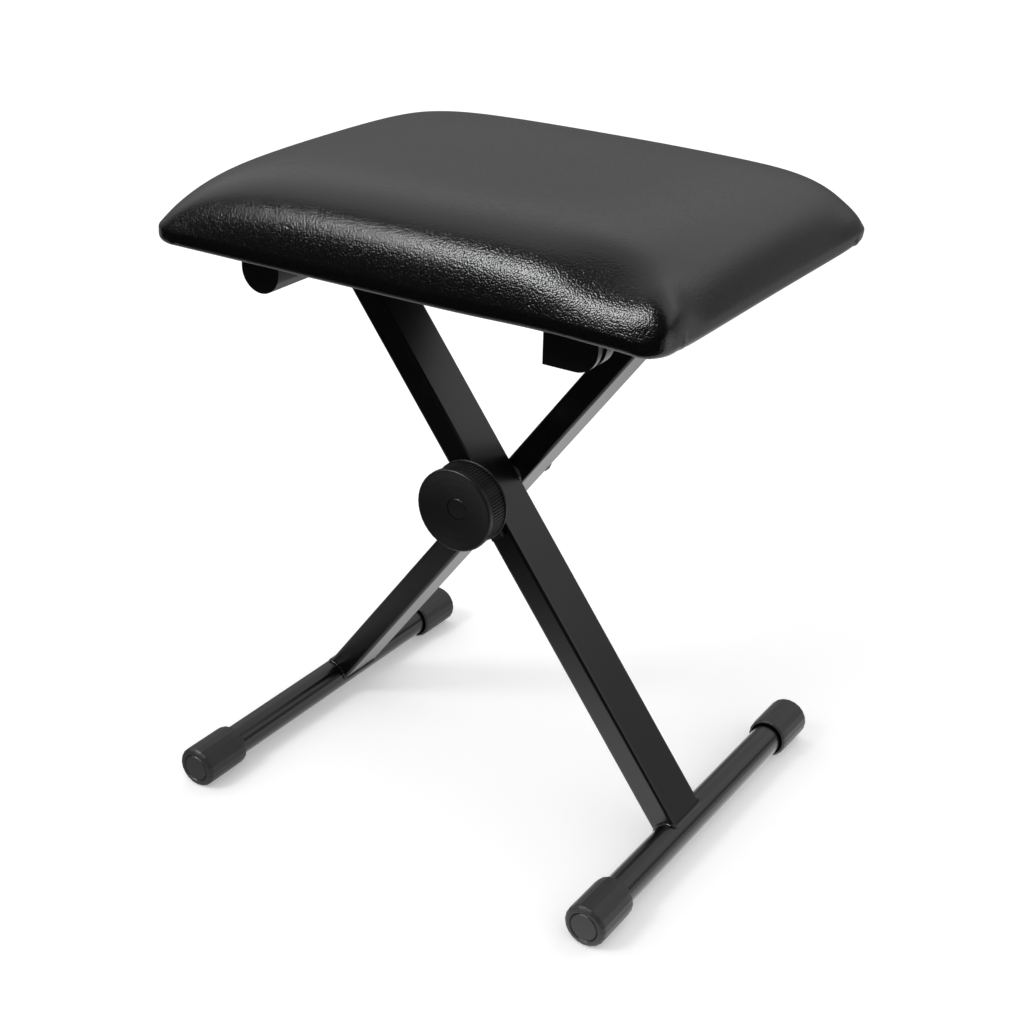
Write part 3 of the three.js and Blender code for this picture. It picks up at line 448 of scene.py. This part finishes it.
def make_vinyl():
    """Pebble relief for the bump, valleys rougher than the tops, and painted shade that darkens the
    valleys' colour.
    """
    material = bpy.data.materials.new("vinyl")
    material.use_nodes = True
    tree = material.node_tree
    surface = tree.nodes["Principled BSDF"]
    place = tree.nodes.new("ShaderNodeTexCoord")
    grain = tree.nodes.new("ShaderNodeGroup")
    grain.node_tree = pebble_grain
    grain.inputs["Cells per metre"].default_value = pebbles_per_metre
    grain.inputs["Bend"].default_value = 0.4
    tree.links.new(place.outputs["Object"], grain.inputs["Place"])
    relief = tree.nodes.new("ShaderNodeGroup")
    relief.node_tree = soft_relief
    relief.inputs["Grains per metre"].default_value = 4000.0
    relief.inputs["Drifts per metre"].default_value = 16.0
    tree.links.new(place.outputs["Object"], relief.inputs["Place"])
    # painted shade: the colour is darker in the valleys between the pebbles, where shade falls
    painted_valley_shade = tree.nodes.new("ShaderNodeMix")
    painted_valley_shade.data_type = "RGBA"
    painted_valley_shade.inputs["A"].default_value = (0.0024, 0.0024, 0.0025, 1)
    painted_valley_shade.inputs["B"].default_value = (0.0012, 0.0012, 0.0013, 1)
    tree.links.new(grain.outputs["Valley"], painted_valley_shade.inputs["Factor"])
    tree.links.new(painted_valley_shade.outputs["Result"], surface.inputs["Base Color"])
    rough = link_math(tree, "MULTIPLY_ADD", grain.outputs["Valley"], 0.08, 0.11)
    rough = link_math(tree, "MULTIPLY_ADD", relief.outputs["Drift"], 0.06, rough)
    tree.links.new(rough, surface.inputs["Roughness"])
    bump = tree.nodes.new("ShaderNodeBump")
    bump.inputs["Strength"].default_value = 1.0
    bump.inputs["Distance"].default_value = pebble_height
    tree.links.new(grain.outputs["Height"], bump.inputs["Height"])
    tree.links.new(bump.outputs["Normal"], surface.inputs["Normal"])
    return material


finishes["vinyl"] = make_vinyl()

# %% [markdown]
# The pad is a block of foam on a board, with vinyl drawn over it and stapled underneath. Its form is
# one surface over a square of two parameters. The square's rings map to the pad's rings: small rings
# lie on the crown, then come the steep shoulder, the upright lip, the rounded lower edge, and last
# the hem that runs in under the board.

# %% The pad's sizes
pad_half_x, pad_half_y = 197.0 * mm, 150.4 * mm
pad_y = -7.6 * mm
pad_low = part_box("seat_cover")[0][2]
pad_corner = 18.5 * mm
lip_height = 10.1 * mm
shoulder_rise, shoulder_power = 16.4 * mm, 25.8
corner_drop, corner_drop_power = 0.64, 2.44
crown_rise, crown_power_x, crown_power_y = 30.6 * mm, 6.9, 7.25
ridge_power = 2.7
# places on the pad, each (height, x, y, width along x, width along y), in mm
near_corner_at = [(1.0, 190, -134, 24, 20)]
near_corner_loss = 0.5
sunken_foam = [(-5.0, 147, -135, 27, 17), (-1.5, 168, -128, 18, 18)]
hem_waves = [
    (-1.1, 183, -150, 9, 9), (1.3, 194, -128, 8, 8), (1.6, 192, 140, 22, 22),
    (1.5, 112, -150, 45, 45),
]
far_corner_nose = [(2.5, 197, 130, 22, 24)]
nose_rise, nose_width = 18 * mm, 10 * mm
side_draw = 0.5 * mm
edge_round = 4.9 * mm
hem_width = 22.0 * mm
vinyl_thickness = 1.1 * mm
print("pad stands on", round(pad_low, 4))


# %% Rings of the pad
def ring_plan(along_x, along_y, half_x, half_y, corner):
    """The point of a rounded rectangle in the direction of a unit square's edge point: the ray from
    the middle is cut by the straight side, or by the corner's circle where it passes the corner."""
    x, y = along_x * half_x, along_y * half_y
    inner_x, inner_y = half_x - corner, half_y - corner
    # the ray (x, y) * s meets the circle round (inner_x, inner_y): solve for the larger s
    ax, ay = np.abs(x), np.abs(y)
    a = ax**2 + ay**2
    b = ax * inner_x + ay * inner_y
    c = inner_x**2 + inner_y**2 - corner**2
    root = (b + np.sqrt(np.maximum(b**2 - a * c, 0))) / a
    in_corner = (ax * root > inner_x) & (ay * root > inner_y) & (b**2 > a * c)
    scale = np.where(in_corner, root, 1.0)
    return x * scale, y * scale


def toward_corners(share):
    """Moves evenly spread points towards the ends, where the corners need them."""
    return 0.42 * share + 0.58 * np.sin(share * math.pi / 2)


def bells(x, y, places):
    """A sum of bell-shaped rises. Each is (height, x, y, width along x, width along y), in mm."""
    rise = np.zeros_like(x)
    for height, at_x, at_y, wide, deep in places:
        away = ((x - at_x * mm) / (wide * mm)) ** 2 + ((y - at_y * mm) / (deep * mm)) ** 2
        rise += height * np.exp(-away)
    return rise


def crown_height(x, y, share):
    """The height above the lip. Along x and along y the pad falls off by a high power for the broad
    crown and a still higher one for the steep shoulder, which sinks at the corners. On the left the
    crown is the product of the two curves, on the right their power mean, which keeps a ridge and so
    leaves the corners full. The near right corner looks to the front: its fall to the right is
    weaker, and the foam before it has sunk a little."""
    u = np.clip(np.abs(x) / pad_half_x, 0, 1)
    v = np.clip(np.abs(y) / pad_half_y, 0, 1)
    sunk = corner_drop * (u * v) ** corner_drop_power
    shoulder_fall = 1 - share**shoulder_power
    shoulder = shoulder_rise * shoulder_fall * (1 - sunk)
    near_corner = bells(x, y, near_corner_at)
    fall_x = u**crown_power_x * (1 - near_corner_loss * near_corner)
    fall_y = v**crown_power_y
    round_ridge = fall_x + fall_y - fall_x * fall_y
    sharp_ridge = np.clip(
        (fall_x**ridge_power + fall_y**ridge_power) ** (1 / ridge_power), 0, 1
    )
    to_right = np.clip((x / pad_half_x + 0.2) / 0.8, 0, 1)
    to_right = to_right**2 * (3 - 2 * to_right)
    crown = crown_rise * (1 - round_ridge + to_right * (round_ridge - sharp_ridge))
    dent = mm * bells(x, y, sunken_foam) * shoulder_fall
    return np.maximum(shoulder + crown + dent, 0)


def hem_line(x, y):
    """How far the lower edge rises above its plane, or hangs below it, on the pad's right half."""
    return mm * bells(x, y, hem_waves)


def relax(points, share, rounds):
    """Moves each point towards the mean of its four neighbours, by its own share, some rounds long,
    so that a crease becomes a soft bend."""
    for _ in range(rounds):
        mean = (points[:-2, 1:-1] + points[2:, 1:-1] + points[1:-1, :-2] + points[1:-1, 2:]) / 4
        points[1:-1, 1:-1] += share[1:-1, 1:-1, None] * (mean - points[1:-1, 1:-1])
    return points


def pad_form(rings):
    """The pad as a grid of points, (2 rings + 1) on a side. Two thirds of the rings lie on the top,
    a twelfth on the lip, a twelfth on the rounded edge and a sixth on the hem."""
    steps = np.arange(-rings, rings + 1)
    grid_i, grid_j = np.meshgrid(steps, steps, indexing="ij")
    ring = np.maximum(np.abs(grid_i), np.abs(grid_j))
    safe_ring = np.maximum(ring, 1)
    edge_x, edge_y = toward_corners(grid_i / safe_ring), toward_corners(grid_j / safe_ring)
    top_rings, lip_rings = rings * 2 // 3, rings // 12
    hem_rings = rings - top_rings - 2 * lip_rings
    on_top = ring <= top_rings
    share = np.where(on_top, 1 - (1 - np.minimum(ring, top_rings) / top_rings) ** 1.9, 1.0)
    bound_x, bound_y = ring_plan(edge_x, edge_y, pad_half_x, pad_half_y, pad_corner)
    x, y = bound_x * share, bound_y * share
    past_lip = np.clip(ring - top_rings, 0, lip_rings) / lip_rings
    past_round = np.clip(ring - top_rings - lip_rings, 0, lip_rings) / lip_rings * math.pi / 2
    past_hem = np.clip(ring - top_rings - 2 * lip_rings, 0, hem_rings) / hem_rings
    lip = lip_height + (edge_round - lip_height) * past_lip
    z = np.where(on_top, lip_height + crown_height(x, y, share), lip)
    z = np.where(past_round > 0, edge_round * (1 - np.sin(past_round)), z)
    inward = edge_round * (1 - np.cos(past_round)) + (hem_width - edge_round) * past_hem
    hem_x, hem_y = ring_plan(
        edge_x, edge_y, pad_half_x - hem_width, pad_half_y - hem_width, pad_corner * 0.6
    )
    x = np.where(on_top, x, bound_x + (hem_x - bound_x) * inward / hem_width)
    y = np.where(on_top, y, bound_y + (hem_y - bound_y) * inward / hem_width)
    # each side is drawn in a little at its middle
    middle_x = np.cos(np.clip(x / pad_half_x, -1, 1) * math.pi / 2) ** 2
    middle_y = np.cos(np.clip(y / pad_half_y, -1, 1) * math.pi / 2) ** 2
    x, y = (
        x * (1 - side_draw / pad_half_x * middle_y * share**4),
        y * (1 - side_draw / pad_half_y * middle_x * share**4),
    )
    z += hem_line(x, y) * np.clip(ring / top_rings * 4 - 3, 0, 1) * (1 - past_hem)
    # the far right corner bulges outwards a little, some way above the lower edge
    x += mm * bells(x, y, far_corner_nose) * np.exp(-(((z - nose_rise) / nose_width) ** 2))
    near_crease = np.clip(1 - np.abs(ring - top_rings) / (rings / 8), 0, 1)
    points = relax(np.stack([x, y, z], axis=-1), 0.6 * near_crease, max(2, rings // 6))
    return points, ring / rings


# %% From grid to mesh
def grid_mesh(name, points):
    """A mesh over a grid of points: each cell of the grid is one four-sided face."""
    rows, columns = points.shape[:2]
    index = np.arange(rows * columns).reshape(rows, columns)
    faces = np.stack(
        [index[:-1, :-1], index[1:, :-1], index[1:, 1:], index[:-1, 1:]], axis=-1
    ).reshape(-1, 4)
    mesh = bpy.data.meshes.new(name)
    mesh.vertices.add(rows * columns)
    mesh.vertices.foreach_set("co", points.astype(np.float32).ravel())
    mesh.loops.add(faces.size)
    mesh.loops.foreach_set("vertex_index", faces.astype(np.int32).ravel())
    mesh.polygons.add(len(faces))
    mesh.polygons.foreach_set("loop_start", np.arange(0, faces.size, 4, dtype=np.int32))
    mesh.polygons.foreach_set("use_smooth", np.ones(len(faces), dtype=bool))
    mesh.update(calc_edges=True)
    mesh.validate()
    return mesh


def new_piece(name, mesh, body, slot):
    """A piece in the scene that rides on a body of the frame and takes its finish from a slot."""
    piece = bpy.data.objects.new(name, mesh)
    scene.collection.objects.link(piece)
    mesh.materials.clear()
    mesh.materials.append(finishes[slot])
    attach(piece, body)
    return piece


# %% [markdown]
# The vinyl isn't laid on the foam, it is pulled over it, and the foam pushes back. Cloth simulation
# does just that: a coarse copy of the pad starts a little too small, its hem is held as by the
# staples, and pressure blows it up against the pull of the cloth. The drawn form already follows the
# real pad, so we keep only a little of what the pull adds: the move of a point is capped, fades out
# before the shoulder and is smoothed.

# %% Stretch the cover
cover_rings = 48
cloth_frames = 20
held_from = 0.74  # the share of the rings from which the cover is held, as by its staples
most_move = 0.5 * mm


def stretched_cover(form, ring_share):
    """Each point's move when the cloth is blown up: its direction times the cap times the hyperbolic
    tangent of its length over the cap."""
    start = form.copy()
    loose = ring_share < held_from
    pull = np.where(loose, 1.0, 0.0)[..., None]
    start -= pull * np.stack(
        [start[..., 0] * 0.006, start[..., 1] * 0.008, np.full(loose.shape, 1.2 * mm)], axis=-1
    )
    cover = bpy.data.objects.new("cover_test", grid_mesh("cover_test", start))
    scene.collection.objects.link(cover)
    held = cover.vertex_groups.new(name="held")
    held.add(np.flatnonzero(~loose.ravel()).tolist(), 1.0, "REPLACE")
    cloth = cover.modifiers.new("cloth", "CLOTH")
    cloth.settings.quality = 6
    cloth.settings.mass = 0.25
    cloth.settings.tension_stiffness = 30
    cloth.settings.compression_stiffness = 30
    cloth.settings.bending_stiffness = 0.8
    cloth.settings.vertex_group_mass = "held"
    cloth.settings.use_pressure = True
    cloth.settings.uniform_pressure_force = 4
    cloth.settings.effector_weights.gravity = 0
    first_frame = scene.frame_current
    for frame_number in range(1, cloth_frames + 1):
        scene.frame_set(frame_number)
    blown = cover.evaluated_get(bpy.context.evaluated_depsgraph_get())
    places = np.empty(form.size, dtype=np.float32)
    blown.data.vertices.foreach_get("co", places)
    move = places.reshape(form.shape).astype(float) - form
    scene.frame_set(first_frame)
    bpy.data.objects.remove(cover)
    length = np.maximum(np.linalg.norm(move, axis=-1, keepdims=True), 1e-9)
    print("cloth moved up to", round(float(length.max()) / mm, 2), "mm")
    move = move / length * most_move * np.tanh(length / most_move)
    # it fades out before the steep shoulder, and only its broad waves stay
    move *= np.clip((0.66 - ring_share) / 0.3, 0, 1)[..., None]
    return relax(move, np.full(ring_share.shape, 0.8), 12)


def twice_as_fine(values):
    """The same grid with a point between each two: new points are the mean of their neighbours."""
    rows = np.repeat(values, 2, axis=0)[:-1]
    rows[1::2] = (values[:-1] + values[1:]) / 2
    columns = np.repeat(rows, 2, axis=1)[:, :-1]
    columns[:, 1::2] = (rows[:, :-1] + rows[:, 1:]) / 2
    return columns


form, ring_share = pad_form(2 * cover_rings)
coarse_form, coarse_share = pad_form(cover_rings)
form = form + twice_as_fine(stretched_cover(coarse_form, coarse_share))
print("pad rises to", round(float(pad_low + form[..., 2].max()), 4))

# %% [markdown]
# At each corner the vinyl has nowhere to go, so the upholsterer folds it into one flat tuck just
# past the corner: a dark slit with a soft bulge beside it. Under the board the gathered vinyl lies
# in small pleats, and at the near right corner the foam swells a little. Tucks and the swelling move
# the points along the surface's own normal, pleats move them down.

# %% Tucks and pleats
def grid_normals(points):
    """The outward normal of each point: the cross product of the two directions along the grid."""
    along_i, along_j = np.gradient(points, axis=0), np.gradient(points, axis=1)
    normal = np.cross(along_i, along_j)
    return normal / np.maximum(np.linalg.norm(normal, axis=-1, keepdims=True), 1e-12)


def bell(distance, width):
    """A bell curve, one at the middle and near zero beyond twice the width."""
    return np.exp(-((distance / width) ** 2))


slit_depth, slit_width, slit_lean = 1.7 * mm, 0.85 * mm, 0.12
fold_height, fold_away, fold_width = 1.1 * mm, 4.2 * mm, 3.2 * mm
fold_lift = 1.2 * mm


def tuck(points, normals, side, end, slit_at, height):
    """A slit that leans a little, with a fold beside it: both are bell curves of the distance from
    the slit. side is the axis that the tucked face looks along and its sign, end is the sign of the
    corner along the other axis. The slit fades out at the given height."""
    axis, sign = side
    along = points[..., 1 - axis] * end
    rise = points[..., 2]
    on_side = np.clip((normals[..., axis] * sign - 0.25) / 0.4, 0, 1)
    past = along - slit_at - slit_lean * (height - rise)
    fade = np.clip(1 - rise / height, 0, 1) ** 0.6
    slit = -slit_depth * bell(past, slit_width) * fade
    fold = fold_height * bell(past - fold_away, fold_width) * bell(rise - 2 * mm, 5.5 * mm)
    points = points + (on_side * (slit + fold))[..., None] * normals
    under = np.clip(1 - rise / (5 * mm), 0, 1) * bell(past - 4.0 * mm, 3.0 * mm) * on_side
    points[..., 2] += fold_lift * under
    return points


gathered = 34 * mm


def pleats(points, ring_share):
    """Under the corners the hem is gathered: waves that run round the corner and grow inwards."""
    x = np.abs(points[..., 0]) - (pad_half_x - gathered)
    y = np.abs(points[..., 1]) - (pad_half_y - gathered)
    turn = np.arctan2(np.maximum(y, 0), np.maximum(x, 0))
    in_corner = np.clip(np.minimum(x, y) / (6 * mm), 0, 1)
    on_hem = np.clip((ring_share - 0.85) / 0.05, 0, 1)
    points[..., 2] -= 0.9 * mm * on_hem * in_corner * np.abs(np.sin(turn * 9 + 0.4)) ** 0.7
    return points


def puff(points, height, middle, width):
    """A soft swelling, in mm: the height times a bell of the distance from its middle, along the
    surface's normals."""
    away = np.linalg.norm(points - np.array(middle) * mm, axis=-1)
    return points + height * mm * bell(away, width * mm)[..., None] * grid_normals(points)


form = puff(form, height=1.8, middle=(192, -140, 26), width=15)
# the flank beside the swelling is smoothed
flank_middle = np.array((196, -124, 28)) * mm
near_flank = bell(np.linalg.norm(form - flank_middle, axis=-1), 17 * mm)
form = relax(form, 0.9 * near_flank, rounds=30)
normals = grid_normals(form)
for side, end, slit_at, height in (
    ((0, 1), -1, 120.4, 11), ((0, 1), 1, 121.5, 9), ((1, -1), -1, 171.0, 7), ((0, -1), 1, 119.0, 10),
):
    form = tuck(form, normals, side, end, slit_at * mm, height * mm)
form = pleats(form, ring_share)

# %% The pad
form[..., 1] += pad_y
form[..., 2] += pad_low
pad = new_piece("vinyl_pad", grid_mesh("vinyl_pad", form), "seat", "vinyl")
wall = pad.modifiers.new("vinyl_thickness", "SOLIDIFY")
wall.thickness = vinyl_thickness
wall.offset = -1
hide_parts("seat_cover", "seat_foam")
print("pad points:", len(pad.data.vertices))


# %% [markdown]
# Small steel staples hold the hem to the board. They are only seen from below. Each is a flat wire
# whose two ends bend up into the wood: six points, with a six-sided ring round each.

# %% A profile carried along a path
def carried(path, radii, closed, flat=1.0, up=(0.0, 0.0, 1.0), sides=6):
    """Rings of points round a path: centre plus radius times the cosine along one square direction
    and the sine along the other. flat squeezes the ring along the up direction."""
    if closed:
        ahead = np.roll(path, -1, axis=0) - np.roll(path, 1, axis=0)
    else:
        ahead = np.gradient(path, axis=0)
    ahead /= np.linalg.norm(ahead, axis=-1, keepdims=True)
    up = np.broadcast_to(np.asarray(up, float), path.shape)
    across = np.cross(ahead, up)
    across /= np.linalg.norm(across, axis=-1, keepdims=True)
    high = np.cross(across, ahead)
    angle = np.arange(sides) / sides * 2 * math.pi
    radii = np.broadcast_to(radii, path.shape[:1])
    along_across = np.cos(angle)[None, :, None] * across[:, None]
    along_high = np.sin(angle)[None, :, None] * high[:, None]
    return path[:, None] + radii[:, None, None] * (along_across + flat * along_high)


def ring_faces(rings, sides, closed, first=0):
    """Four-sided faces between each ring and the next, and a face over each open end."""
    last = rings if closed else rings - 1
    ring_at, side_at = np.meshgrid(np.arange(last), np.arange(sides), indexing="ij")
    next_ring, next_side = (ring_at + 1) % rings, (side_at + 1) % sides
    corners = [
        (ring_at, side_at), (ring_at, next_side), (next_ring, next_side), (next_ring, side_at),
    ]
    faces = np.stack([r * sides + s for r, s in corners], axis=-1).reshape(-1, 4) + first
    faces = faces.tolist()
    if not closed:
        faces.append([first + s for s in range(sides)][::-1])
        faces.append([first + (rings - 1) * sides + s for s in range(sides)])
    return faces


def outward(mesh):
    """Turns every face of a closed mesh outwards."""
    work = bmesh.new()
    work.from_mesh(mesh)
    bmesh.ops.recalc_face_normals(work, faces=work.faces)
    work.to_mesh(mesh)
    work.free()
    return mesh


# %% Staples
rng = np.random.default_rng(7)
staple_shape = np.array(
    [(-5.0, 0, 1.6), (-5.0, 0, 0.1), (-4.5, 0, -0.3), (4.5, 0, -0.3), (5.0, 0, 0.1), (5.0, 0, 1.6)]
) * mm
staple_inset, wire_radius = 14 * mm, 0.62 * mm
line_x, line_y = pad_half_x - staple_inset, pad_half_y - staple_inset
spots = [(x, sign * line_y, 0.0) for sign in (-1, 1) for x in np.linspace(-150, 150, 10) * mm]
spots += [
    (sign * line_x, y, math.pi / 2) for sign in (-1, 1) for y in np.linspace(-105, 105, 7) * mm
]
staple_points, staple_faces = [], []
for x, y, turn in spots:
    turn += rng.uniform(-0.25, 0.25)
    path_x = x + staple_shape[:, 0] * math.cos(turn)
    path_y = y + staple_shape[:, 0] * math.sin(turn) + pad_y
    staple_path = np.stack([path_x, path_y, staple_shape[:, 2] + pad_low], axis=-1)
    side_way = (-math.sin(turn), math.cos(turn), 0.0)
    rings_of_points = carried(staple_path, wire_radius, False, flat=0.5, up=side_way)
    points_so_far = sum(len(points) for points in staple_points)
    staple_faces += ring_faces(len(staple_path), 6, False, first=points_so_far)
    staple_points.append(rings_of_points.reshape(-1, 3))
staple_mesh = bpy.data.meshes.new("hem_staples")
staple_mesh.from_pydata(np.concatenate(staple_points).tolist(), [], staple_faces)
new_piece("hem_staples", outward(staple_mesh), "seat", "zinc")
print("staples:", len(spots))

# %% [markdown]
# The legs are welded to their round tubes. A weld is a string of small overlapping drops, and here
# it follows the line where the leg's outside meets the tube. That line is known in closed form: walk
# round the leg's outline, and slide each point along the leg until it touches the tube.

# %% Weld beads
leg_half_width, leg_half_depth, leg_corner = 10 * mm, 20 * mm, 2.6 * mm
tube_radius = 12 * mm
bead_radius, ripple_length, sway_length = 1.25 * mm, 2.6 * mm, 9 * mm


def leg_outline(count):
    """Points spread evenly round the leg's rounded rectangle, the outward direction at each, and
    how far along the outline each lies."""
    quarter = np.linspace(0, math.pi / 2, 12)
    parts = [
        np.stack(
            [
                sx * (leg_half_width - leg_corner) + leg_corner * np.cos(quarter + start),
                sy * (leg_half_depth - leg_corner) + leg_corner * np.sin(quarter + start),
            ],
            axis=-1,
        )
        for sx, sy, start in (
            (1, 1, 0), (-1, 1, 0.5 * math.pi), (-1, -1, math.pi), (1, -1, 1.5 * math.pi),
        )
    ]
    line = np.concatenate([*parts, parts[0][:1]])
    gone = np.concatenate([[0], np.cumsum(np.linalg.norm(np.diff(line, axis=0), axis=1))])
    even = np.linspace(0, gone[-1], count, endpoint=False)
    spread = np.stack([np.interp(even, gone, line[:, k]) for k in (0, 1)], axis=-1)
    ahead = np.roll(spread, -1, axis=0) - np.roll(spread, 1, axis=0)
    ahead /= np.linalg.norm(ahead, axis=-1, keepdims=True)
    return spread, np.stack([ahead[:, 1], -ahead[:, 0]], axis=-1), even


def weld_bead(name, tube_at, pivot_at, leg_y, body):
    """The bead of one joint: tube_at and pivot_at are (x, z), leg_y is the middle of the leg."""
    toward = np.array(pivot_at) - np.array(tube_at)
    toward /= np.linalg.norm(toward)
    square = np.array([-toward[1], toward[0]])
    outline, out, gone = leg_outline(260)
    climb = np.sqrt(tube_radius**2 - outline[:, 0] ** 2)
    flat_place = outline[:, :1] * square + climb[:, None] * toward
    place = np.stack([flat_place[:, 0], outline[:, 1], flat_place[:, 1]], axis=-1)
    from_tube = np.stack([flat_place[:, 0], 0 * climb, flat_place[:, 1]], axis=-1) / tube_radius
    from_leg = np.stack([out[:, 0] * square[0], out[:, 1], out[:, 0] * square[1]], axis=-1)
    lift = from_tube + from_leg
    lift /= np.linalg.norm(lift, axis=-1, keepdims=True)
    drops = np.abs(np.sin(gone / ripple_length * math.pi))
    ripple = 1 + 0.1 * drops + 0.06 * np.sin(gone / sway_length)
    place = place + 0.25 * bead_radius * lift + np.array([tube_at[0], leg_y, tube_at[1]])
    points = carried(place, bead_radius * ripple, True, up=lift, sides=10)
    mesh = bpy.data.meshes.new(name)
    mesh.from_pydata(points.reshape(-1, 3).tolist(), [], ring_faces(len(place), 10, True))
    mesh.polygons.foreach_set("use_smooth", np.ones(len(mesh.polygons), dtype=bool))
    return new_piece(name, outward(mesh), body, "powder_coat")


def middle(node, axis):
    """The middle of a node's box along one axis."""
    low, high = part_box(node)
    return (low[axis] + high[axis]) / 2


pivot = (middle("pivot_bolt", 0), middle("pivot_bolt", 2))
for tube, leg, body in (
    ("right_foot_tube", "front_leg", "front_frame"),
    ("left_top_tube", "front_leg", "front_frame"),
    ("left_foot_tube", "rear_leg", "rear_frame"),
    ("right_top_tube", "rear_leg", "rear_frame"),
):
    weld_bead(tube + "_weld", (middle(tube, 0), middle(tube, 2)), pivot, middle(leg, 1), body)
print("welds round", pivot)
